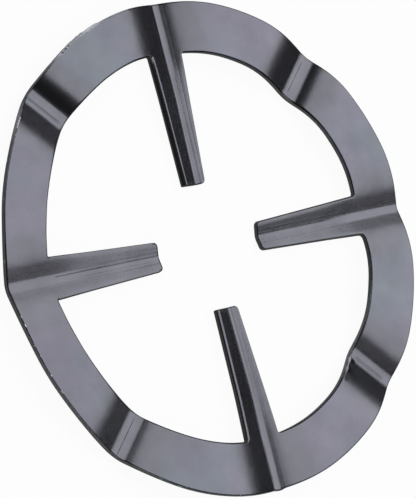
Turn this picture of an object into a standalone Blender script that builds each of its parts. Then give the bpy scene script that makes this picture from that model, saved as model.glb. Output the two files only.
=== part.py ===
"""Gas hob reducer ring: one disc of sheet steel, punched, pressed and enamelled.

A flat ring carries four fingers that point at its centre. Eight V ribs are pressed down into it:
one along each finger and on across the ring, and one across the ring half-way between two fingers.
The ring lies as it comes to rest with its hollow ribs up, on the undersides of its finger tips.
Metres, +Z up, +X along a finger, origin under the centre of the rim where the tips touch down.
"""

from math import atan2, cos, hypot, pi, radians, sin, sqrt, tan

import bmesh
import bpy

# The blank
RIM_RADIUS = 0.065
BAND_WIDTH = 0.01375
SHEET = 0.0015
EDGE_ROUND = 0.0003

# The hole, fingers and ribs lie a little off the centre of the rim, as punched
PUNCH_SHIFT_X = -0.0016
PUNCH_SHIFT_Y = 0.0002

# The fingers
FINGERS = 4
TIP_GAP = 0.0328
TIP_WIDTH = 0.0073
ROOT_WIDTH = 0.0105
TIP_CORNER = 0.0012
ROOT_FILLET = 0.0012
DROOP = radians(2.0)

# The pressed ribs, which turn from a round nose in the ring to a sharp crease in the fingers
RIB_DEPTH = 0.0027
RIB_WIDTH = 0.028
NOSE_WIDTH = 0.004
FLANK_WIDTH = 0.0035
CREASE_WIDTH = 0.0008
NOSE_RUNOUT = 0.009

# How finely the curved stretches are divided
RING_ROWS = 2
STEPS_OVER_ROOT = 6
STEPS_TO_MIDDLE = 7
FILLET_STEPS = 3
SIDE_STEPS = 6
CORNER_STEPS = 3
EDGE_STEPS = 2

ENAMEL_COLOUR = (0.105, 0.107, 0.125, 1.0)

HOLE_RADIUS = RIM_RADIUS - BAND_WIDTH
RIB_PITCH = pi / FINGERS
TIP_RADIUS = TIP_GAP / 2
SIDE_SLOPE = (ROOT_WIDTH - TIP_WIDTH) / 2 / (HOLE_RADIUS - TIP_RADIUS)


def clear_scene():
    """Remove what the file opened with."""
    for thing in list(bpy.data.objects):
        bpy.data.objects.remove(thing, do_unlink=True)


def enamel():
    """Dark grey satin enamel over steel."""
    material = bpy.data.materials.new("dark_grey_enamel")
    material.use_nodes = True
    shader = material.node_tree.nodes["Principled BSDF"]
    shader.inputs["Base Color"].default_value = ENAMEL_COLOUR
    shader.inputs["Metallic"].default_value = 0.0
    shader.inputs["Roughness"].default_value = 0.32
    material.diffuse_color = ENAMEL_COLOUR
    return material


def rib_drop(off_line):
    """How far the press pushes the ring down, at a distance from a rib's centre line.

    A round nose at the bottom runs into a straight flank, and a shoulder eases out to the flat sheet.
    """
    off_line = abs(off_line)
    half_width = RIB_WIDTH / 2
    nose = NOSE_WIDTH / 2
    shoulder = half_width - nose - FLANK_WIDTH
    slope = RIB_DEPTH / (nose / 2 + FLANK_WIDTH + shoulder / 2)
    if off_line < nose:
        return RIB_DEPTH - slope * off_line ** 2 / (2 * nose)
    if off_line < nose + FLANK_WIDTH:
        return RIB_DEPTH - slope * (off_line - nose / 2)
    if off_line < half_width:
        return slope * (half_width - off_line) ** 2 / (2 * shoulder)
    return 0.0


def finger_drop(off_line, along):
    """The same inside the hole, where the nose gives way to a crease between two flat flanks."""
    off_line = abs(off_line)
    crease = CREASE_WIDTH / 2
    root = ROOT_WIDTH / 2
    slope = (RIB_DEPTH - rib_drop(root)) / (root - crease / 2)
    if off_line < crease:
        creased = RIB_DEPTH - slope * off_line ** 2 / (2 * crease)
    else:
        creased = RIB_DEPTH - slope * (off_line - crease / 2)
    share = min(1.0, max(0.0, HOLE_RADIUS - along) / NOSE_RUNOUT)
    return rib_drop(off_line) + (creased - rib_drop(off_line)) * share


def rim_distance(angle):
    """Distance from the punch's centre to the rim, in a direction."""
    across = PUNCH_SHIFT_X * sin(angle) - PUNCH_SHIFT_Y * cos(angle)
    along = PUNCH_SHIFT_X * cos(angle) + PUNCH_SHIFT_Y * sin(angle)
    return sqrt(RIM_RADIUS ** 2 - across ** 2) - along


def side_width(along):
    """Half the finger's width, at a distance from the centre, before its ends are rounded."""
    return TIP_WIDTH / 2 + SIDE_SLOPE * (along - TIP_RADIUS)


def fillet_centre():
    """Centre of the root fillet, which touches the finger's side and the hole's edge."""
    lift = ROOT_FILLET * sqrt(1 + SIDE_SLOPE ** 2)
    start = side_width(0.0) + lift
    reach = HOLE_RADIUS - ROOT_FILLET
    a = 1 + SIDE_SLOPE ** 2
    b = SIDE_SLOPE * start
    c = start ** 2 - reach ** 2
    along = (sqrt(b ** 2 - a * c) - b) / a
    return along, side_width(along) + lift


def finger_side():
    """One side of a finger as (along, off line) points, from the hole's edge to the tip."""
    centre_along, centre_off = fillet_centre()
    root_angle = atan2(centre_off, centre_along)
    side_angle = atan2(-1.0, SIDE_SLOPE)
    points = []
    for step in range(FILLET_STEPS + 1):
        turn = root_angle + (side_angle - root_angle) * step / FILLET_STEPS
        points.append((centre_along + ROOT_FILLET * cos(turn), centre_off + ROOT_FILLET * sin(turn)))
    side_start = points[-1][0]
    side_end = TIP_RADIUS + TIP_CORNER
    for step in range(1, SIDE_STEPS + 1):
        along = side_start + (side_end - side_start) * step / SIDE_STEPS
        points.append((along, side_width(along)))
    for step in range(1, CORNER_STEPS + 1):
        turn = pi / 2 * step / CORNER_STEPS
        off_line = side_width(side_end) - TIP_CORNER * (1 - cos(turn))
        points.append((side_end - TIP_CORNER * sin(turn), off_line))
    return points


def column_angles():
    """Directions of the ring's columns on one side of a rib, out to half-way to the next."""
    centre_along, centre_off = fillet_centre()
    root = atan2(centre_off, centre_along)
    angles = [root * step / STEPS_OVER_ROOT for step in range(STEPS_OVER_ROOT + 1)]
    for step in range(1, STEPS_TO_MIDDLE + 1):
        angles.append(root + (RIB_PITCH / 2 - root) * step / STEPS_TO_MIDDLE)
    return angles


def sheet_vertex(bm, rib, along, off_line, drop):
    """A point of the pressed sheet, placed by its rib and pushed down."""
    angle = rib * RIB_PITCH
    x = PUNCH_SHIFT_X + along * cos(angle) - off_line * sin(angle)
    y = PUNCH_SHIFT_Y + along * sin(angle) + off_line * cos(angle)
    return bm.verts.new((x, y, -drop))


def ring_column(bm, rib, turn):
    """The points of one column of the ring, from the hole's edge to the rim."""
    rim = rim_distance(rib * RIB_PITCH + turn)
    column = []
    for row in range(RING_ROWS + 1):
        radius = HOLE_RADIUS + (rim - HOLE_RADIUS) * row / RING_ROWS
        off_line = radius * sin(turn)
        column.append(sheet_vertex(bm, rib, radius * cos(turn), off_line, rib_drop(off_line)))
    return column


def fill_between(bm, left, right):
    """Faces between two lines of points, wound to look up when left lies anticlockwise of right."""
    for near, far in zip(range(len(left) - 1), range(1, len(left))):
        bm.faces.new((left[near], right[near], right[far], left[far]))


def add_ring(bm):
    """The ring itself. Returns the columns that stand on each rib's stretch, for the fingers."""
    half = column_angles()
    turns = [-turn for turn in reversed(half)] + half[1:]
    columns = []
    for rib in range(2 * FINGERS):
        columns += [ring_column(bm, rib, turn) for turn in turns[:-1]]
    for index, column in enumerate(columns):
        fill_between(bm, columns[(index + 1) % len(columns)], column)
    middle = len(half) - 1
    roots = []
    for rib in range(0, 2 * FINGERS, 2):
        first = rib * (len(turns) - 1) + middle - STEPS_OVER_ROOT
        roots.append([columns[(first + step) % len(columns)][0] for step in range(2 * STEPS_OVER_ROOT + 1)])
    return roots


def add_finger(bm, rib, root):
    """A finger, row by row from the hole's edge to the tip, sagging a little on the way."""
    side = finger_side()
    bowed_rows = FILLET_STEPS + 2
    previous = root
    for index in range(1, len(side)):
        end_along, end_off = side[index]
        bow = max(0.0, 1 - index / bowed_rows) * (HOLE_RADIUS - sqrt(HOLE_RADIUS ** 2 - end_off ** 2))
        row = []
        for step in range(-STEPS_OVER_ROOT, STEPS_OVER_ROOT + 1):
            share = step / STEPS_OVER_ROOT
            along = end_along + bow * (1 - share ** 2)
            off_line = end_off * share
            sag = tan(DROOP) * (HOLE_RADIUS - hypot(along, off_line))
            row.append(sheet_vertex(bm, rib, along, off_line, finger_drop(off_line, along) + sag))
        fill_between(bm, previous, row)
        previous = row


def thicken(bm):
    """Give the sheet its thickness, downwards, and round the cut edges."""
    bmesh.ops.recalc_face_normals(bm, faces=bm.faces)
    top = list(bm.faces)
    if sum(face.normal.z for face in top) < 0:
        bmesh.ops.reverse_faces(bm, faces=top)
    bmesh.ops.solidify(bm, geom=top, thickness=SHEET)
    bm.normal_update()
    cut = [edge for edge in bm.edges if edge.calc_face_angle() > radians(60)]
    bmesh.ops.bevel(bm, geom=cut, offset=EDGE_ROUND, segments=EDGE_STEPS, profile=0.5, affect="EDGES")


def build_ring():
    """The whole reducer ring, standing on its finger tips."""
    bm = bmesh.new()
    for finger, root in enumerate(add_ring(bm)):
        add_finger(bm, 2 * finger, root)
    thicken(bm)
    lowest = min(vertex.co.z for vertex in bm.verts)
    bmesh.ops.translate(bm, verts=bm.verts, vec=(0.0, 0.0, -lowest))
    mesh = bpy.data.meshes.new("reducer_ring")
    bm.to_mesh(mesh)
    bm.free()
    mesh.shade_smooth()
    mesh.set_sharp_from_angle(angle=radians(50))
    ring = bpy.data.objects.new("reducer_ring", mesh)
    ring.data.materials.append(enamel())
    bpy.context.scene.collection.objects.link(ring)
    return ring


clear_scene()
build_ring()
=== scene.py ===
import math

import bmesh
import bpy
from mathutils import Matrix, Vector, noise
from mathutils.bvhtree import BVHTree


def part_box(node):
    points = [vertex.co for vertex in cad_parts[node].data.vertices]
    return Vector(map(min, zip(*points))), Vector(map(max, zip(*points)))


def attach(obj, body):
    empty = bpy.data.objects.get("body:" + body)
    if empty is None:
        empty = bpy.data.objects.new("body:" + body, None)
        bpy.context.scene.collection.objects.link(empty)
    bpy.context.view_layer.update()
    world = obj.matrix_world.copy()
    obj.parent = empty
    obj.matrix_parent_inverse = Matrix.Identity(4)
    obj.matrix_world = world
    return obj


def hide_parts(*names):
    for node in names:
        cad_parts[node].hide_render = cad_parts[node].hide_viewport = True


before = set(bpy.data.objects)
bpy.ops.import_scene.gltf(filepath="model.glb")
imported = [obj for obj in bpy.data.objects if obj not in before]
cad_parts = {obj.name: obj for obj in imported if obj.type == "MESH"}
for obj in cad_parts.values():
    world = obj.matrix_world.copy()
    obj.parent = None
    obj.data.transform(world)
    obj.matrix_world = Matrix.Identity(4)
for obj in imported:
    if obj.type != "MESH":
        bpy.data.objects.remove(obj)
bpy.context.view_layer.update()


# The blank
# A disc of 1.5 mm sheet steel, punched in one stroke to a ring with four fingers that point at the
# centre. The punch struck a little to one side, so the hole and fingers lie off the rim's centre.

low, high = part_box("reducer_ring")
RIM_RADIUS = (high.x - low.x) / 2
BAND_WIDTH = 0.01375
HOLE_RADIUS = RIM_RADIUS - BAND_WIDTH
PUNCH = Vector((-0.0016, 0.0002, 0.0))

FINGERS = 4
FINGER_PITCH = 2 * math.pi / FINGERS
TIP_RADIUS = 0.0164
TIP_HALF_WIDTH = 0.00365
ROOT_HALF_WIDTH = 0.00525
TIP_CORNER = 0.0012
SHARP_CORNER = 0.00035
ROOT_FILLET = 0.0005
WORN_REACH = 0.0014
WORN_DEPTH = 0.0004
SIDE_SLOPE = (ROOT_HALF_WIDTH - TIP_HALF_WIDTH) / (HOLE_RADIUS - TIP_RADIUS)

# the mesh of the blank: columns round the ring, rows across the band and along a finger, how far from
# a cut the rows lie close, and the distance under which two points are one
COLUMNS = 1440
COLUMN_PITCH = 2 * math.pi / COLUMNS
BAND_ROWS = 20
ROLL_ROWS = 6
ROLL_REACH = 0.0009
FILLET_STEPS = 6
CORNER_STEPS = 8
FINGER_ROWS = 34
TOUCHING = 1e-6


def side_width(along):
    """Half the finger's width, at a distance from the centre, before its ends are rounded."""
    return TIP_HALF_WIDTH + SIDE_SLOPE * (along - TIP_RADIUS)


def fillet_centre():
    """Where the root fillet turns: it touches the finger's side and the hole's edge."""
    lift = ROOT_FILLET * math.hypot(1, SIDE_SLOPE)
    start = side_width(0.0) + lift
    a = 1 + SIDE_SLOPE ** 2
    b = SIDE_SLOPE * start
    c = start ** 2 - (HOLE_RADIUS - ROOT_FILLET) ** 2
    along = (math.sqrt(b * b - a * c) - b) / a
    return along, side_width(along) + lift


def corner_width(along, corner):
    """Half the finger's width, with its tip corners rounded to a radius."""
    start = TIP_RADIUS + corner
    if along >= start:
        return side_width(along)
    turn = math.asin(min(1.0, (start - along) / corner))
    return side_width(start) - corner * (1 - math.cos(turn))


def finger_stations():
    """Rows of a finger after the hole's edge, as (along, half width): fillet, straight side, corner."""
    along, off_line = fillet_centre()
    root_angle = math.atan2(off_line, along)
    side_angle = math.atan2(-1.0, SIDE_SLOPE)
    stations = []
    for step in range(1, FILLET_STEPS + 1):
        turn = root_angle + (side_angle - root_angle) * step / FILLET_STEPS
        stations.append((along + ROOT_FILLET * math.cos(turn), off_line + ROOT_FILLET * math.sin(turn)))
    corner = TIP_RADIUS + TIP_CORNER
    stations.append((corner, side_width(corner)))
    for step in range(1, CORNER_STEPS + 1):
        along = corner - TIP_CORNER * math.sin(math.pi / 2 * step / CORNER_STEPS)
        stations.append((along, corner_width(along, TIP_CORNER)))
    return stations


def row_gap(row, rows, width):
    """Distance of a row from the nearer of two cuts. Rows lie closest where the edge will roll over."""
    row = min(row, rows - row)
    if row < ROLL_ROWS:
        return ROLL_REACH * (1 - math.cos(math.pi / 2 * row / ROLL_ROWS))
    return ROLL_REACH + (width / 2 - ROLL_REACH) * (row - ROLL_ROWS) / (rows / 2 - ROLL_ROWS)


def rim_distance(angle):
    """Distance from the punch's centre to the rim, in a direction."""
    across = PUNCH.x * math.sin(angle) - PUNCH.y * math.cos(angle)
    along = PUNCH.x * math.cos(angle) + PUNCH.y * math.sin(angle)
    return math.sqrt(RIM_RADIUS ** 2 - across ** 2) - along


def select_only(mesh, wanted):
    """Select the edges for which wanted(edge) holds, in edge mode."""
    for edge in mesh.edges:
        edge.select_set(False)
    for edge in mesh.edges:
        if wanted(edge):
            edge.select_set(True)
    mesh.select_flush_mode()


bpy.ops.object.select_all(action="DESELECT")
bpy.ops.mesh.primitive_circle_add(
    vertices=COLUMNS, radius=HOLE_RADIUS, fill_type="NOTHING", location=PUNCH)
ring = bpy.context.object
ring.name = "ring_plate"
bpy.ops.object.transform_apply(location=True)
bpy.ops.object.mode_set(mode="EDIT")
bpy.ops.mesh.select_mode(type="EDGE")

# the points of the hole's edge at each finger's root are drawn towards the finger's two sides
root_along, root_off = fillet_centre()
root_columns = round(math.atan2(root_off, root_along) / COLUMN_PITCH)
root_turn = root_columns * COLUMN_PITCH
at_along, at_half = HOLE_RADIUS * math.cos(root_turn), HOLE_RADIUS * math.sin(root_turn)
mesh = bmesh.from_edit_mesh(ring.data)
for vertex in mesh.verts:
    from_punch = vertex.co - PUNCH
    angle = math.atan2(from_punch.y, from_punch.x)
    finger = round(angle / FINGER_PITCH) * FINGER_PITCH
    column = round((angle - finger) / COLUMN_PITCH)
    if abs(column) < root_columns:
        off_line = at_half - row_gap(root_columns - abs(column), 2 * root_columns, 2 * at_half)
        turn = finger + math.copysign(math.asin(off_line / HOLE_RADIUS), column)
        vertex.co = PUNCH + Vector((math.cos(turn), math.sin(turn), 0)) * HOLE_RADIUS

# the band, drawn out to a circle of the rim's size
stretch = RIM_RADIUS / HOLE_RADIUS
bpy.ops.mesh.extrude_edges_move(TRANSFORM_OT_translate={"value": (0, 0, 0)})
bpy.ops.transform.resize(value=(stretch, stretch, 1), center_override=PUNCH)


def at_root(edge):
    """Whether an edge of the hole lies at the first finger's root."""
    middle = (edge.verts[0].co + edge.verts[1].co) / 2 - PUNCH
    return middle.length < HOLE_RADIUS + TOUCHING and abs(math.atan2(middle.y, middle.x)) < root_turn


# one finger, drawn in from the hole's edge row by row
mesh = bmesh.from_edit_mesh(ring.data)
select_only(mesh, at_root)
for station, (along, half_width) in enumerate(finger_stations()):
    bpy.ops.mesh.extrude_edges_move(TRANSFORM_OT_translate={"value": (along - at_along, 0, 0)})
    straighten = max(0.0, 1 - 1 / (FILLET_STEPS - station)) if station < FILLET_STEPS else 0.0
    ends = Vector((along, 0, 0)) + PUNCH
    bpy.ops.transform.resize(value=(straighten, half_width / at_half, 1), center_override=ends)
    at_along, at_half = along, half_width

mesh = bmesh.from_edit_mesh(ring.data)
side_start, side_end = finger_stations()[FILLET_STEPS - 1][0], finger_stations()[FILLET_STEPS][0]


def along_side(edge):
    """Whether an edge runs the length of the first finger's straight sides."""
    ends = sorted((vertex.co - PUNCH).x for vertex in edge.verts)
    inside = max((vertex.co - PUNCH).length for vertex in edge.verts) < HOLE_RADIUS - TOUCHING
    return inside and ends[0] < side_end + 10 * TOUCHING and ends[1] > side_start - 10 * TOUCHING


select_only(mesh, along_side)
bpy.ops.mesh.subdivide(number_cuts=FINGER_ROWS - 1)

# the other three fingers are turned copies of the first
mesh = bmesh.from_edit_mesh(ring.data)
bpy.ops.mesh.select_mode(type="FACE")
for face in mesh.faces:
    face.select_set((face.calc_center_median() - PUNCH).length < HOLE_RADIUS - TOUCHING)
for copy in range(1, FINGERS):
    bpy.ops.mesh.duplicate()
    bpy.ops.transform.rotate(value=FINGER_PITCH, orient_axis="Z", center_override=PUNCH)
bpy.ops.mesh.select_all(action="SELECT")
bpy.ops.mesh.remove_doubles(threshold=TOUCHING)


def across_band(edge):
    """Whether an edge runs from the hole to the rim."""
    ends = [(vertex.co - PUNCH).length for vertex in edge.verts]
    return abs(ends[0] - ends[1]) > (RIM_RADIUS - HOLE_RADIUS) / 2


mesh = bmesh.from_edit_mesh(ring.data)
bpy.ops.mesh.select_mode(type="EDGE")
select_only(mesh, across_band)
bpy.ops.mesh.subdivide(number_cuts=BAND_ROWS - 1)
bpy.ops.mesh.select_all(action="SELECT")
bpy.ops.mesh.normals_make_consistent(inside=False)
bpy.ops.object.mode_set(mode="OBJECT")
if ring.data.polygons[0].normal.z < 0:
    ring.data.flip_normals()

# the band's rows, set out between the hole and the rim that lies off its centre
for vertex in ring.data.vertices:
    from_punch = vertex.co - PUNCH
    radius = from_punch.length
    if radius > HOLE_RADIUS + TOUCHING:
        width = rim_distance(math.atan2(from_punch.y, from_punch.x)) - HOLE_RADIUS
        row = round((radius - HOLE_RADIUS) / (RIM_RADIUS - HOLE_RADIUS) * BAND_ROWS)
        gap = row_gap(row, BAND_ROWS, width)
        from_hole = gap if 2 * row <= BAND_ROWS else width - gap
        vertex.co = PUNCH + from_punch * ((HOLE_RADIUS + from_hole) / radius)

# the punch left the -X corners of two tips sharp
for vertex in ring.data.vertices:
    from_punch = vertex.co - PUNCH
    along = abs(from_punch.y)
    if along < TIP_RADIUS + TIP_CORNER and abs(from_punch.x) < TIP_HALF_WIDTH and from_punch.x < 0:
        full_width = corner_width(along, SHARP_CORNER)
        vertex.co.x = PUNCH.x + from_punch.x * full_width / corner_width(along, TIP_CORNER)

# it was worn rounder at one root
worn_along = HOLE_RADIUS - ROOT_FILLET / 3
worn_corner = PUNCH + Vector((worn_along, -side_width(worn_along) - ROOT_FILLET / 3, 0))
into_gap = Vector((-1, -1, 0)).normalized()
for vertex in ring.data.vertices:
    near = max(0.0, 1 - (vertex.co - worn_corner).length / WORN_REACH)
    vertex.co += into_gap * WORN_DEPTH * near ** 2

# how far each point lies from the nearest cut, kept for the edges' roll and for the enamel
CUT_STRIP = Vector((0, 0, 0.001))
faces_at = {}
for polygon in ring.data.polygons:
    for key in polygon.edge_keys:
        faces_at[key] = faces_at.get(key, 0) + 1
cuts = []
for key, faces in faces_at.items():
    if faces == 1:
        first, second = (ring.data.vertices[index].co for index in key)
        cuts += [first - CUT_STRIP, second - CUT_STRIP, second + CUT_STRIP, first + CUT_STRIP]
cut_tree = BVHTree.FromPolygons(cuts, [range(start, start + 4) for start in range(0, len(cuts), 4)])
cut_gap = ring.data.attributes.new("cut_gap", "FLOAT", "POINT")
for vertex in ring.data.vertices:
    cut_gap.data[vertex.index].value = cut_tree.find_nearest(vertex.co)[3]


# The pressed ribs
# Eight V ribs are pressed down into the blank, one along each finger and on across the ring, and one
# half-way between two fingers. The upper tool stood a little to one side of its die, so the ribs'
# bottoms lie off the middle of their shoulders, and no two ribs came out quite alike.

FLAT_TOP = high.z
PRESS = Vector((-0.00055, 0.0, 0.0))
RIB_PITCH = math.pi / FINGERS

# the depth of all ribs, and how the press tilted
RIB_DEPTH = 0.0027
DEEPER_X = 0.02
DEEPER_Y = 0.07

# where the shoulders start and end, off the line of a rib: first on the ribs along fingers, then on
# those between, with the least flank that is left before a shoulder
SHOULDER_START = (0.0041, 0.0058)
RIB_HALF_WIDTH = (0.0170, 0.0144)
SHORTEST_FLANK = 0.0002

# ribs are numbered anticlockwise from +X, and side 1 is the anticlockwise side; for each side, how wide
# the nose is, how much sooner the shoulder starts, and how much further out it ends
RIB_SIDES = {
    (0, 1): (0.00125, 0.0, 0.0018),
    (0, -1): (0.00125, 0.0, 0.0005),
    (1, 1): (0.00245, 0.0005, 0.0025),
    (1, -1): (0.0032, 0.0012, 0.0022),
    (2, 1): (0.0009, 0.0, 0.0020),
    (2, -1): (0.00125, 0.0, 0.0011),
    (3, 1): (0.0026, 0.0, 0.0039),
    (3, -1): (0.0029, 0.0006, 0.0003),
    (4, 1): (0.00125, 0.0006, 0.0002),
    (4, -1): (0.00125, 0.0, -0.0006),
    (5, 1): (0.0019, 0.0018, 0.0028),
    (5, -1): (0.0032, 0.0, 0.0053),
    (6, 1): (0.00125, 0.0018, 0.0022),
    (6, -1): (0.00125, 0.0, 0.0026),
    (7, 1): (0.0021, 0.0, 0.0023),
    (7, -1): (0.0021, 0.0, 0.0025),
}

# how much deeper a rib came out across the ring, and how much further its bottom lies to side 1
DEEPENED = {0: 0.0002, 1: 0.0002, 2: 0.0001, 3: 0.0002, 5: 0.0003, 6: 0.0002, 7: 0.0002}
LEANS = {1: -0.0006, 3: -0.0005, 5: 0.0005}

# inside the hole a rib turns to a crease between two flat flanks, which ease off towards the cuts
CREASE = 0.0005
CREASE_SLOPE = 0.235
CREASE_SLOPES = {(0, 1): 0.275, (0, -1): 0.262, (4, 1): 0.25}
EASED = 0.0013
EASE = 60.0
NOSE_RUNOUT = 0.014
DROOP = math.tan(math.radians(2.15))
DROOP_START = 0.006

# how far off a rib's bottom the tool's edge scored a line, and on two ribs a second one; a rib
# without a line has it out of reach, and one rib has it only from a little inside the hole
OUT_OF_REACH = 1.0
SCORES = {1: 0.0003, 3: 0.0004, 4: -0.00045, 5: -0.0006, 6: -0.00065, 7: -0.0006}
SECOND_SCORES = {3: 0.0008, 7: 0.0}
SCORED_INSIDE_ONLY = 4
SCORED_FROM = 0.001

# how hard the tool drew along a finger's flank, and how far inside the hole that starts and is full
DRAWN = {(0, -1): 0.15, (2, -1): 1.0, (4, 1): 0.15, (6, 1): 0.5}
DRAWN_START = 0.002
DRAWN_FULL = 0.010

# the step from one rib to the next in the pattern of fine marks, so that no two ribs share it
MARKS_APART = 0.05


def ramp(value, start, end):
    """0 before start, 1 after end."""
    return min(1.0, max(0.0, (value - start) / (end - start)))


def side_of(off_line):
    """1 on the anticlockwise side of a rib, -1 on the other."""
    return 1 if off_line >= 0 else -1


def rib_place(point):
    """(rib, along, off_line) of a point: the nearest rib, the way along it and the way off it."""
    from_punch = point - PUNCH
    angle = math.atan2(from_punch.y, from_punch.x)
    rib = round(angle / RIB_PITCH)
    turn = angle - rib * RIB_PITCH
    radius = math.hypot(from_punch.x, from_punch.y)
    return rib % (2 * FINGERS), radius * math.cos(turn), radius * math.sin(turn)


def rib_lean(rib):
    """How far the bottom of a rib lies off the middle of its shoulders."""
    across = PUNCH - PRESS
    return across.x * math.sin(rib * RIB_PITCH) - across.y * math.cos(rib * RIB_PITCH) + LEANS.get(rib, 0.0)


def rib_depth(rib):
    """Depth of a rib, which the tilt of the press changes round the ring."""
    return RIB_DEPTH * (1 + DEEPER_X * math.cos(rib * RIB_PITCH) + DEEPER_Y * math.sin(rib * RIB_PITCH))


def ring_drop(rib, off_line):
    """How far the ring is pushed down: round nose, straight flank, and a shoulder out to the flat."""
    side = side_of(off_line)
    off_line = abs(off_line)
    nose, sooner, wider = RIB_SIDES[rib, side]
    flank = max(SHORTEST_FLANK, SHOULDER_START[rib % 2] - side * rib_lean(rib) - nose - sooner)
    half_width = RIB_HALF_WIDTH[rib % 2] - side * rib_lean(rib) + wider
    shoulder = half_width - nose - flank
    depth = rib_depth(rib) + DEEPENED.get(rib, 0.0)
    slope = depth / (nose / 2 + flank + shoulder / 2)
    if off_line < nose:
        return depth - slope * off_line ** 2 / (2 * nose)
    if off_line < nose + flank:
        return depth - slope * (off_line - nose / 2)
    if off_line < half_width:
        return slope * (half_width - off_line) ** 2 / (2 * shoulder)
    return 0.0


def sheet_drop(point):
    """How far the sheet is pushed down at a point of the blank."""
    rib, along, off_line = rib_place(point)
    inward = HOLE_RADIUS - math.hypot(along, off_line)
    from_side = max(0.0, side_width(along) - abs(off_line))
    off_line -= rib_lean(rib)
    drop = ring_drop(rib, off_line)
    if inward <= 0:
        return drop
    slope = CREASE_SLOPES.get((rib, side_of(off_line)), CREASE_SLOPE)
    if abs(off_line) < CREASE:
        rise = slope * off_line ** 2 / (2 * CREASE)
    else:
        rise = slope * (abs(off_line) - CREASE / 2)
    rise -= EASE * max(0.0, EASED - from_side) ** 2 / 2
    share = min(1.0, inward / NOSE_RUNOUT)
    share = share * share * (3 - 2 * share)
    bend = min(inward, DROOP_START)
    sag = DROOP * (inward - bend + bend ** 2 / (2 * DROOP_START))
    return drop + (rib_depth(rib) - rise - drop) * share + sag


# where each point lies on its rib and how far it is from the scored lines, kept for the enamel
for name, kind in (("rib_way", "FLOAT_VECTOR"), ("score_gap", "FLOAT_VECTOR"), ("drawn", "FLOAT")):
    ring.data.attributes.new(name, kind, "POINT")
rib_way, score_gap, drawn = (ring.data.attributes[name] for name in ("rib_way", "score_gap", "drawn"))
for vertex in ring.data.vertices:
    rib, along, off_line = rib_place(vertex.co)
    off_nose = off_line - rib_lean(rib)
    rib_way.data[vertex.index].vector = (along, abs(off_nose), rib * MARKS_APART)
    left_out = rib == SCORED_INSIDE_ONLY and along > HOLE_RADIUS - SCORED_FROM
    score = OUT_OF_REACH if left_out else SCORES.get(rib, OUT_OF_REACH)
    second_score = SECOND_SCORES.get(rib, OUT_OF_REACH)
    score_gap.data[vertex.index].vector = (off_nose - score, off_nose - second_score, along - HOLE_RADIUS)
    inside = ramp(HOLE_RADIUS - along, DRAWN_START, DRAWN_FULL)
    drawn.data[vertex.index].value = DRAWN.get((rib, side_of(off_nose)), 0.0) * inside
    vertex.co.z = FLAT_TOP - sheet_drop(vertex.co)


# The cut edges
# The punch rolled the upper edges of its cuts over, most of all along the -X sides of two fingers, and
# the enamel that covers them is thin. It is pale along parts of the rim, and flaked off in places.
# Towards -X the hole's edge is painted dark, a painted shade.

SHEET = 0.0015

# how round the cut edges are, and where the hole's roll gives way to a finger's
RIM_ROLL = 0.00035
HOLE_ROLL = 0.0006
HOLE_ROLL_START = 0.011
FINGER_ROLL = 0.0003
ROLL_BLEND = 0.0015
LOWER_ROLL = 0.00025

# for each side that was dragged over: how far in it reaches, its slope, its bend, and the edge's roll
DRAGGED = {(2, 1): (0.0011, 0.72, 0.00020, 0.0003), (6, -1): (0.00085, 0.50, 0.00060, 0.0003)}
NOT_DRAGGED = (0.0, 0.0, 1.0, FINGER_ROLL)

# one finger has crisp sides and a blunt tip
CRISP_FINGER = 4
CRISP_ROLL = 0.00012
BLUNT_TIP_ROLL = 0.0006

solidify = ring.modifiers.new("sheet", "SOLIDIFY")
solidify.thickness = SHEET
solidify.offset = -1.0
solidify.use_even_offset = True
top_points = len(ring.data.vertices)
bpy.ops.object.modifier_apply(modifier=solidify.name)


def rolled(gap, radius):
    """How far a rounded edge falls back at a distance from the cut."""
    return radius - math.sqrt(radius ** 2 - (radius - gap) ** 2) if gap < radius else 0.0


def edge_drop(point, gap):
    """How far the upper face falls back at a point, for its distance from the cut."""
    rib, along, off_line = rib_place(point)
    inward = HOLE_RADIUS - math.hypot(along, off_line)
    if inward < (HOLE_RADIUS - RIM_RADIUS) / 2:
        return rolled(gap, RIM_ROLL)
    reach, slope, bend, roll = DRAGGED.get((rib, side_of(off_line)), NOT_DRAGGED)
    if rib == CRISP_FINGER:
        at_tip = ramp(along, TIP_RADIUS + TIP_CORNER, TIP_RADIUS + TIP_CORNER / 2)
        roll = CRISP_ROLL + (BLUNT_TIP_ROLL - CRISP_ROLL) * at_tip
    in_finger = ramp(inward, 0.0, ROLL_BLEND)
    in_root = 1 - ramp(abs(off_line), ROOT_HALF_WIDTH, HOLE_ROLL_START) if rib % 2 == 0 else 0.0
    drop = rolled(gap, HOLE_ROLL + (roll - HOLE_ROLL) * max(in_finger, in_root))
    if along < TIP_RADIUS + 2 * reach:
        gap = max(0.0, corner_width(along, SHARP_CORNER) - abs(off_line))
    past = max(0.0, reach - gap)
    return drop + in_finger * slope * (past ** 2 / (2 * bend) if past < bend else past - bend / 2)


cut_gap = ring.data.attributes["cut_gap"]
top_normals = {}
for index in range(top_points):
    upper, lower = ring.data.vertices[index].co, ring.data.vertices[index + top_points].co
    top_normals[index] = (upper - lower).normalized()
for index, normal in top_normals.items():
    gap = cut_gap.data[index].value
    ring.data.vertices[index].co -= normal * edge_drop(ring.data.vertices[index].co, gap)
    ring.data.vertices[index + top_points].co += normal * rolled(gap, LOWER_ROLL)

# the rim stands a little proud over one stretch, ragged, and has a lump at the end of one rib
PROUD_START = math.radians(109.0)
PROUD_FULL = PROUD_START + 0.004
PROUD_END = math.radians(128.0)
PROUD_FADES = PROUD_END - 0.2
PROUD_HEIGHT = 0.00022
RAGGED = 0.00022
GRAIN = 0.0011
LUMP = math.radians(270.4)
LUMP_HALF_WIDTH = 0.0019
LUMP_HEIGHT = 0.0003

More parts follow.
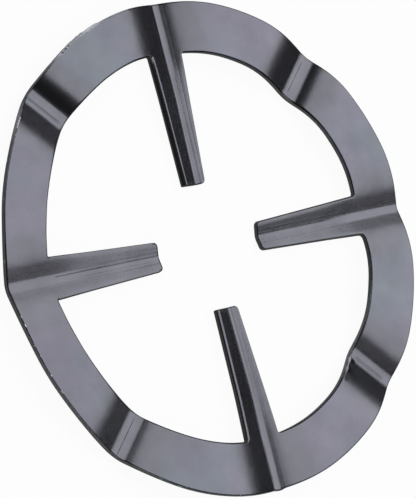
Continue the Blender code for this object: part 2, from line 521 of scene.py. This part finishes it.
# a bead of metal that the punch dragged up lies along the hole's edge across one rib, in lumps
BEAD_START = math.radians(305.2)
BEAD_END = math.radians(316.3)
BEAD_RISES = 0.5
BEAD_FALLS = 0.88
BEAD_GAP = 0.0004
BEAD_HEIGHT = 0.0002
BEAD_LUMPS = 3.0
BEAD_WIDTHS = (0.45, 1.20)
BEAD_PALE = 0.6

# how far from a cut the wear reaches, and how far the enamel is thin: at the rim, with more where it is
# pale and a ragged limit, and inside, at the hole, on its -X side, which is painted dark as a painted
# shade, and on the blunt tip
EDGE_BAND = 0.0012
RIM_THIN = 0.00008
PALE_THIN = 0.0006
GRAIN_THIN = 0.0001
HOLE_THIN = (0.00002, 0.00008)
SHADED_THIN = (0.0002, 0.0004)
TIP_THIN = (0.0003, 0.0006)

# the hole's edge is painted dark towards -X, a painted shade, between these two shares of its radius
# that way
SHADED_SIDE = (0.2, 0.5)

# how thin the enamel is all over a side that was dragged over
DRAGGED_THIN = 0.12

# stretches of the rim and of the hole's edge, as (middle, half width, how much), angles in degrees:
# where the thin enamel is pale, with how pale it is elsewhere and on the lower edge, and where it is
# pitted and flaked to bare metal
PALE = ((112, 7, 0.7), (121, 9, 0.5), (142, 8, 0.25), (103, 8, 0.35), (205, 35, 0.07), (275, 30, 0.14))
RIM_PALE = 0.06
LOWER_PALE = 0.6
HOLE_PALE = ((25, 45, 0.06), (318, 24, 0.13))
INNER_PALE = 0.03
FLAKED = (
    (142.6, 3.0, 1.2),
    (146.5, 2.6, 0.85),
    (121, 5, 0.85),
    (154, 6, 0.55),
    (186.6, 0.6, 1.1),
    (188.4, 1.5, 0.9),
    (193.2, 0.5, 1.0),
    (195.7, 0.4, 0.85),
    (200.5, 0.6, 1.2),
    (204.8, 0.7, 1.1),
    (242.5, 0.6, 1.0),
    (257, 1.0, 0.85),
    (67, 3.5, 0.5),
)
FLAKE_GAP = 0.0003
FLAKE_HALF_WIDTH = 0.00035


def over(angle, middle, half_width):
    """1 in the middle of a stretch, falling smoothly to 0 at its ends."""
    off = abs((angle - math.radians(middle) + math.pi) % (2 * math.pi) - math.pi)
    off /= math.radians(half_width)
    return math.cos(off * math.pi / 2) ** 2 if off < 1 else 0.0


def wear_rim(vertex, gap, low_side):
    """Raise the rim where it stands proud, and give (thin, pale, flaked) of its enamel."""
    angle = math.atan2(vertex.co.y, vertex.co.x) % (2 * math.pi)
    outward = Vector((math.cos(angle), math.sin(angle), 0))
    near = 1 - gap / EDGE_BAND
    grain = noise.noise(vertex.co / GRAIN)
    stretch = sum(amount * over(angle, middle, half) for middle, half, amount in PALE)
    reach = RIM_THIN + PALE_THIN * min(1.0, 2 * stretch)
    thin = 1 - ramp(gap + grain * GRAIN_THIN, reach / 2, reach)
    pale = (RIM_PALE + stretch) * (LOWER_PALE if low_side else 1.0)
    flaked = max(amount * over(angle, middle, half) ** 0.5 for middle, half, amount in FLAKED)
    flaked *= max(0.0, 1 - abs(gap - FLAKE_GAP) / FLAKE_HALF_WIDTH)
    proud = ramp(angle, PROUD_START, PROUD_FULL) * (1 - ramp(angle, PROUD_FADES, PROUD_END))
    from_lump = (angle - LUMP) * RIM_RADIUS / LUMP_HALF_WIDTH
    lump = math.cos(from_lump * math.pi / 2) ** 2 if abs(from_lump) < 1 else 0.0
    vertex.co += outward * near * (proud * (PROUD_HEIGHT + RAGGED * grain) + lump * LUMP_HEIGHT)
    vertex.co -= outward * near * near * RAGGED * max(0.0, grain) * flaked
    return thin, pale, flaked


def wear_and_shade_inside(vertex, gap, low_side):
    """Raise the bead at the hole's edge, and give (thin, pale, flaked) of the enamel there, where thin also
    holds the painted shade of the hole's -X edge.
    """
    rib, along, off_line = rib_place(vertex.co)
    inward = HOLE_RADIUS - math.hypot(along, off_line)
    punch_angle = (rib * RIB_PITCH + math.atan2(off_line, along)) % (2 * math.pi)
    thin = 1 - ramp(gap, *HOLE_THIN)
    pale = INNER_PALE
    if inward < ROOT_FILLET:
        # painted shade: towards -X the hole's edge is painted dark as thin film, and not pale
        shaded_edge = ramp(-math.cos(punch_angle), *SHADED_SIDE)
        thin = max(thin, shaded_edge * (1 - ramp(gap, *SHADED_THIN)))
        pale += sum(amount * over(punch_angle, middle, half) for middle, half, amount in HOLE_PALE)
        pale *= 1 - shaded_edge
    elif gap < DRAGGED.get((rib, side_of(off_line)), NOT_DRAGGED)[0]:
        thin = max(thin, DRAGGED_THIN)
    elif rib == CRISP_FINGER and along < TIP_RADIUS + TIP_CORNER:
        thin = max(thin, 1 - ramp(gap, *TIP_THIN))
        pale = 0.0
    along_bead = (punch_angle - BEAD_START) / (BEAD_END - BEAD_START)
    if 0 < along_bead < 1 and inward < EDGE_BAND and not low_side:
        lumps = 0.5 + 0.5 * math.cos((along_bead * BEAD_LUMPS - 0.25) * 2 * math.pi)
        half_width = BEAD_GAP * (BEAD_WIDTHS[0] + (BEAD_WIDTHS[1] - BEAD_WIDTHS[0]) * lumps)
        ends = ramp(along_bead, 0.0, BEAD_RISES) * ramp(along_bead, 1.0, BEAD_FALLS)
        bead = ends * max(0.0, 1 - ((gap - BEAD_GAP) / half_width) ** 2)
        pale = max(pale, bead * BEAD_PALE)
        thin = max(thin, min(1.0, bead * 2))
        vertex.co.z += BEAD_HEIGHT * bead * lumps
    return thin, pale, 0.0


# how thin the enamel is, with the painted shade at the hole's -X edge, how pale it is where thin, and
# how flaked, kept for the enamel
ring.data.attributes.new("edge_wear_and_shade", "FLOAT_VECTOR", "POINT")
edge_wear_and_shade = ring.data.attributes["edge_wear_and_shade"]
cut_gap = ring.data.attributes["cut_gap"]
for vertex in ring.data.vertices:
    gap = cut_gap.data[vertex.index].value
    if gap > EDGE_BAND:
        continue
    at_rim = (vertex.co - PUNCH).xy.length > HOLE_RADIUS + EDGE_BAND
    wear = wear_rim if at_rim else wear_and_shade_inside
    thin, pale, flaked = wear(vertex, gap, vertex.index >= top_points)
    edge_wear_and_shade.data[vertex.index].vector = (thin, min(1.0, pale), flaked)
bpy.ops.object.shade_smooth_by_angle(angle=math.radians(50))

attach(ring, "root")
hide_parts("reducer_ring")


# The enamel
# Black vitreous enamel, fired on to both faces, satin, with faint clouds of blue-green and violet, kept
# off the ribs, which are painted near black as a painted shade. It is thin along the cut edges, where its
# film is olive, a painted reflection of the table, and shows the marks of the tools in the steel under it.


class Value:
    """A number that varies over a surface. Arithmetic on it adds the Math nodes."""

    def __init__(self, paint, socket):
        self.paint = paint
        self.socket = socket

    def math(self, operation, *others):
        """One Math node on these values."""
        return self.paint.node("ShaderNodeMath", {"operation": operation}, dict(enumerate(others)))

    def __add__(self, other):
        return self.math("ADD", self, other)

    def __radd__(self, other):
        return self.math("ADD", other, self)

    def __sub__(self, other):
        return self.math("SUBTRACT", self, other)

    def __rsub__(self, other):
        return self.math("SUBTRACT", other, self)

    def __mul__(self, other):
        return self.math("MULTIPLY", self, other)

    def __rmul__(self, other):
        return self.math("MULTIPLY", other, self)

    def __abs__(self):
        return self.math("ABSOLUTE", self)

    def at_least(self, other):
        return self.math("MAXIMUM", self, other)


class Paint:
    """The node tree of a material."""

    def __init__(self, name):
        self.material = bpy.data.materials.new(name)
        self.material.use_nodes = True
        self.tree = self.material.node_tree
        self.shader = self.tree.nodes["Principled BSDF"]

    def node(self, kind, settings=None, inputs=None, output=0):
        """Add a node, with its settings and the values or links of its sockets, and give its output."""
        node = self.tree.nodes.new(kind)
        for name, value in (settings or {}).items():
            setattr(node, name, value)
        self.join(node, inputs or {})
        return Value(self, node.outputs[output])

    def join(self, node, inputs):
        """Link or set a node's sockets."""
        for name, value in inputs.items():
            if isinstance(value, Value):
                self.tree.links.new(value.socket, node.inputs[name])
            else:
                node.inputs[name].default_value = value


def mottle(paint, scale, detail=2.0, offset=0.0):
    """Soft irregular patches, about 0.5 on average. Each offset gives patches of its own."""
    place = paint.node("ShaderNodeTexCoord", output="Object")
    return paint.node("ShaderNodeTexNoise", {"noise_dimensions": "4D"},
                      {"Vector": place, "W": offset, "Scale": scale, "Detail": detail, "Roughness": 0.55})


def uneven(paint, scale, detail=2.0, offset=0.0):
    """The same, about 0 on average."""
    return mottle(paint, scale, detail, offset) - 0.5


def ease(paint, value, start, end):
    """0 before start, 1 after end, smooth between."""
    return paint.node("ShaderNodeMapRange", {"interpolation_type": "SMOOTHSTEP"},
                      {"Value": value, "From Min": start, "From Max": end})


def mix_colour(paint, share, first, second):
    """A colour between two, by a share."""
    return paint.node("ShaderNodeMix", {"data_type": "RGBA"}, {0: share, 6: first, 7: second}, output=2)


def carried(paint, name, output="Vector"):
    """A vector or a number that the mesh carries."""
    return paint.node("ShaderNodeAttribute", {"attribute_name": name}, output=output)


def parts(paint, vector):
    """The three components of a vector."""
    return [paint.node("ShaderNodeSeparateXYZ", inputs={"Vector": vector}, output=axis) for axis in "XYZ"]


TEAL_BLACK = (0.0040, 0.0055, 0.0062, 1.0)
VIOLET_BLACK = (0.0062, 0.0048, 0.0066, 1.0)
TEAL_BLOOM = (0.0080, 0.0320, 0.0360, 1.0)
VIOLET_BLOOM = (0.0340, 0.0180, 0.0420, 1.0)
# the olive under thin enamel is a painted reflection of the warm table in the cut walls
OLIVE_REFLECTION_BLACK = (0.012, 0.012, 0.009, 1.0)
PALE_FILM = (0.80, 0.80, 0.82, 1.0)
BARE_SPOT = (0.75, 0.75, 0.76, 1.0)
PIT = (0.015, 0.014, 0.013, 1.0)

# how flaked the enamel has to be to show bare steel or pits, and how much specks change that
BARE_FROM = (0.66, 0.74)
BARE_SPECKS = 1.6
PITTED_FROM = (0.55, 0.65)
PITTED_SPECKS = 1.8

# how much of its paleness thin enamel has at least, and how much specks add
PALE_LEAST = 0.45
PALE_SPECKS = 1.1

# how soft the clouds are at their edges, in the black of the ribs and on the flats, and where off the
# bottom of a rib the flats' clouds fade in and the rib's painted shade fades out
TINT_EDGES = (0.38, 0.62)
BLOOM_EDGES = (0.36, 0.64)
CLOUDS_AND_RIB_SHADE_FADE = (0.009, 0.014)

# the fine marks: where off the bottom of a rib they fade out, and the scale of their pattern along the
# rib, across it and from rib to rib
MARKS_FADE = (0.0015, 0.0035)
STREAK_SCALE = (14.0, 1500.0, 60.0)

# depths and heights of the marks, and how the scored lines lie: their width, how deep the second is
# beside the first, and where they fade, off the hole's edge
STREAK_DEPTH = 0.00003
DRAWN_DEPTH = 0.00011
WAVE_HEIGHT = 0.00003
GRAIN_HEIGHT = 0.000003
THIN_HEIGHT = 0.00005
FLAKE_DEPTH = 0.00004
SCORE_DEPTH = 0.00005
SCORE_HALF_WIDTH = 0.00014
SECOND_SCORE_SHARE = 0.85
SCORE_AT_HOLE = 0.003
SCORE_AT_RIM = (0.0115, 0.0130)

# how rough and how glossy the enamel is, and how much that varies over it
SATIN = 0.17
SATIN_VARIES = 0.06
THIN_ROUGHER = 0.6
GLOSS = 0.76
GLOSS_VARIES = 1.1
SCORE_DULLER = 0.6

enamel = Paint("satin_enamel")
# thin holds thin enamel and also the painted shade at the hole's -X edge
thin, pale, flaked = parts(enamel, carried(enamel, "edge_wear_and_shade"))
bare = ease(enamel, flaked + uneven(enamel, 1700.0, 3.0, 2.0) * BARE_SPECKS, *BARE_FROM)
pitted = ease(enamel, flaked + uneven(enamel, 1300.0, 3.0, 5.0) * PITTED_SPECKS, *PITTED_FROM)
speckled = pale * (PALE_LEAST + mottle(enamel, 900.0, 3.0, 6.0) * PALE_SPECKS)
# the colour of thin enamel: its pale wear, over an olive that is a painted reflection of the table
film_and_reflection = mix_colour(enamel, speckled, OLIVE_REFLECTION_BLACK, PALE_FILM)

# the clouds show on the flats, and the ribs are painted near black without them, a painted shade
off_nose = parts(enamel, carried(enamel, "rib_way"))[1]
tints = ease(enamel, mottle(enamel, 75.0, 2.0, 9.0), *TINT_EDGES)
blooms = ease(enamel, mottle(enamel, 60.0, 4.0, 13.0), *BLOOM_EDGES)
colour = mix_colour(enamel, tints, TEAL_BLACK, VIOLET_BLACK)
bloom = mix_colour(enamel, blooms, VIOLET_BLOOM, TEAL_BLOOM)
colour = mix_colour(enamel, ease(enamel, off_nose, *CLOUDS_AND_RIB_SHADE_FADE), colour, bloom)
colour = mix_colour(enamel, thin, colour, film_and_reflection)
colour = mix_colour(enamel, pitted, colour, PIT)
colour = mix_colour(enamel, bare, colour, BARE_SPOT)

# the tool left fine marks along the bottoms of the ribs, and one or two deeper lines in most of them
near_nose = 1 - ease(enamel, off_nose, *MARKS_FADE)
streak_place = enamel.node("ShaderNodeVectorMath", {"operation": "MULTIPLY"},
                           {0: carried(enamel, "rib_way"), 1: STREAK_SCALE})
streaks = enamel.node("ShaderNodeTexNoise", inputs={"Vector": streak_place, "Scale": 1.0, "Detail": 2.0})
from_first, from_second, from_hole = parts(enamel, carried(enamel, "score_gap"))
first_score = 1 - abs(from_first) * (1 / SCORE_HALF_WIDTH)
second_score = (1 - abs(from_second) * (1 / SCORE_HALF_WIDTH)) * SECOND_SCORE_SHARE
score = first_score.at_least(second_score).at_least(0.0) * near_nose
faded = ease(enamel, from_hole, *SCORE_AT_RIM) + ease(enamel, abs(from_hole), SCORE_AT_HOLE, 0.0)
score = score * (1 - faded)
height = (
    (streaks - 0.5) * (near_nose * STREAK_DEPTH + carried(enamel, "drawn", "Fac") * DRAWN_DEPTH)
    + uneven(enamel, 300.0, 2.0, 1.0) * WAVE_HEIGHT
    + uneven(enamel, 2200.0, 1.0, 3.0) * GRAIN_HEIGHT
    + uneven(enamel, 1200.0, 3.0, 8.0) * thin * THIN_HEIGHT
    - score * SCORE_DEPTH
    - (bare + pitted) * FLAKE_DEPTH
)

blotches = mottle(enamel, 160.0, 3.0) + uneven(enamel, 700.0, 3.0, 7.0)
roughness = SATIN + blotches * SATIN_VARIES + thin * THIN_ROUGHER
gloss = GLOSS + uneven(enamel, 110.0, 4.0, 4.0) * GLOSS_VARIES
enamel.join(enamel.shader, {
    "Base Color": colour,
    "Roughness": roughness,
    "IOR": 1.55,
    "Coat Weight": gloss * (1 - thin) * (1 - bare) * (1 - score * SCORE_DULLER),
    "Coat Roughness": 0.14,
    "Coat IOR": 1.5,
    "Normal": enamel.node("ShaderNodeBump", inputs={"Height": height, "Distance": 1.0, "Strength": 1.0}),
})
ring.data.materials.append(enamel.material)


# The table and the lights
# The ring lies on a white table, under one large soft box above and beyond it, with weak fill from
# two more and from the room.

TABLE_TOP = -0.0002
TABLE_WHITE = (0.95, 0.95, 0.95, 1.0)

# the share of pure white in how the table looks to the camera and in reflections
TABLE_LIFT = 0.95

LAMP_DISTANCE = 1.5
ROOM_LIGHT = 0.03

bpy.ops.mesh.primitive_plane_add(size=8.0, location=(0, 0, TABLE_TOP))
table = bpy.context.object
table.name = "table_top"
table_paint = Paint("white_table")
table_paint.join(table_paint.shader, {"Base Color": TABLE_WHITE, "Roughness": 0.9})
seen_by = [table_paint.node("ShaderNodeLightPath", output=ray)
           for ray in ("Is Camera Ray", "Is Glossy Ray", "Is Transmission Ray")]
white = table_paint.node("ShaderNodeEmission", inputs={"Color": (1, 1, 1, 1), "Strength": 1.0})
seen = table_paint.node("ShaderNodeMixShader", inputs={
    "Fac": (seen_by[0] + seen_by[1] + seen_by[2]) * TABLE_LIFT,
    1: Value(table_paint, table_paint.shader.outputs[0]),
    2: white,
})
table_paint.join(table_paint.tree.nodes["Material Output"], {"Surface": seen})
table.data.materials.append(table_paint.material)


def soft_box(name, direction, half_angle, radiance, colour=(1, 1, 1)):
    """A round area light that faces the ring, of an even radiance."""
    data = bpy.data.lights.new(name, "AREA")
    data.shape = "DISK"
    data.size = 2 * LAMP_DISTANCE * math.tan(math.radians(half_angle))
    data.energy = radiance * math.pi * math.pi * data.size ** 2 / 4
    data.color = colour
    lamp = bpy.data.objects.new(name, data)
    bpy.context.scene.collection.objects.link(lamp)
    lamp.location = Vector(direction).normalized() * LAMP_DISTANCE
    lamp.rotation_euler = (-lamp.location).to_track_quat("-Z", "Y").to_euler()
    lamp.visible_camera = False


soft_box("soft_box", (0.517, 0.095, 0.851), half_angle=26.3, radiance=2.93, colour=(0.935, 0.95, 1.09))
soft_box("fill_box_left", (-0.35, 0.75, 0.5), half_angle=20, radiance=1.8)
soft_box("fill_box_right", (-0.35, -0.75, 0.5), half_angle=20, radiance=1.8)

world = bpy.data.worlds.new("room")
bpy.context.scene.world = world
world.use_nodes = True
world.node_tree.nodes["Background"].inputs["Color"].default_value = (1, 1, 1, 1)
world.node_tree.nodes["Background"].inputs["Strength"].default_value = ROOM_LIGHT


# The camera
# It looks down at the ring from -X, turned on its side as in the photograph.

CAMERA_AIM = Vector((-0.00112, -0.00026, 0.0))
CAMERA_DISTANCE = 0.54335
CAMERA_AZIMUTH = math.radians(5.084)
CAMERA_ELEVATION = math.radians(52.235)
CAMERA_ROLL = math.radians(71.748)
PHOTO_HEIGHT = 498
FOCAL_PIXELS = 2093.7
SENSOR_HEIGHT = 24.0

forward = Vector((
    math.cos(CAMERA_ELEVATION) * math.cos(CAMERA_AZIMUTH),
    math.cos(CAMERA_ELEVATION) * math.sin(CAMERA_AZIMUTH),
    -math.sin(CAMERA_ELEVATION),
))
lens = bpy.data.cameras.new("photo_camera")
lens.sensor_fit = "VERTICAL"
lens.sensor_height = SENSOR_HEIGHT
lens.lens = SENSOR_HEIGHT * FOCAL_PIXELS / PHOTO_HEIGHT
lens.clip_start = 0.01
camera = bpy.data.objects.new("photo_camera", lens)
bpy.context.scene.collection.objects.link(camera)
upright = forward.to_track_quat("-Z", "Y").to_matrix().to_4x4()
camera_place = Matrix.Translation(CAMERA_AIM - forward * CAMERA_DISTANCE)
camera.matrix_world = camera_place @ upright @ Matrix.Rotation(CAMERA_ROLL, 4, "Z")
bpy.context.scene.camera = camera
bpy.context.scene.view_settings.view_transform = "Standard"
